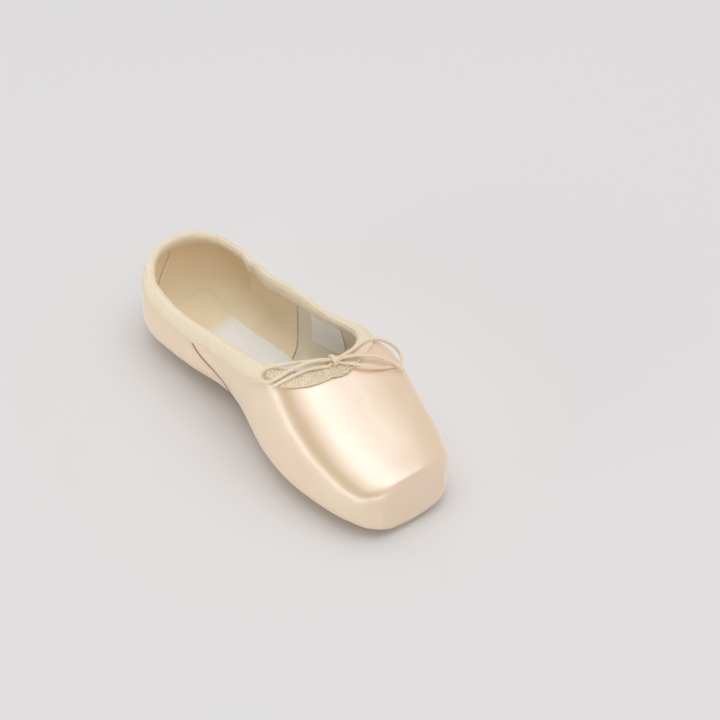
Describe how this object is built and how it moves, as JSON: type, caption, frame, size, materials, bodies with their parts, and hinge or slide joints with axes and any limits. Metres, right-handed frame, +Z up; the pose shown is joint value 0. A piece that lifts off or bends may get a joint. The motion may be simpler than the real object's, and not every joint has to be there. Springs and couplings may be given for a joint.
{
  "type": "pointe shoe",
  "caption": "Satin pointe shoe with a hard flat-tipped toe box, open collar bound with tape, leather sole and a drawstring tied in a bow.",
  "frame": {"origin": "on the floor, under the middle of the shoe's length and width", "axes": "+Z up; the toe points to -Y and the heel to +Y; +X is the shoe's left side when it is worn"},
  "size_m": [0.088, 0.236, 0.079],
  "materials": {
    "satin": "glossy satin weave",
    "sole_leather": "matt, brushed",
    "sock": "matt",
    "tape": "matt twill",
    "cord": "matt braid"
  },
  "bodies": {
    "root": {"upper": "satin", "outsole": "sole_leather", "insole": "sock", "collar_binding": "tape", "drawstring_knot": "cord", "drawstring_loop_left": "cord", "drawstring_loop_right": "cord", "drawstring_end_left": "cord", "drawstring_end_right": "cord"}
  },
  "joints": []
}
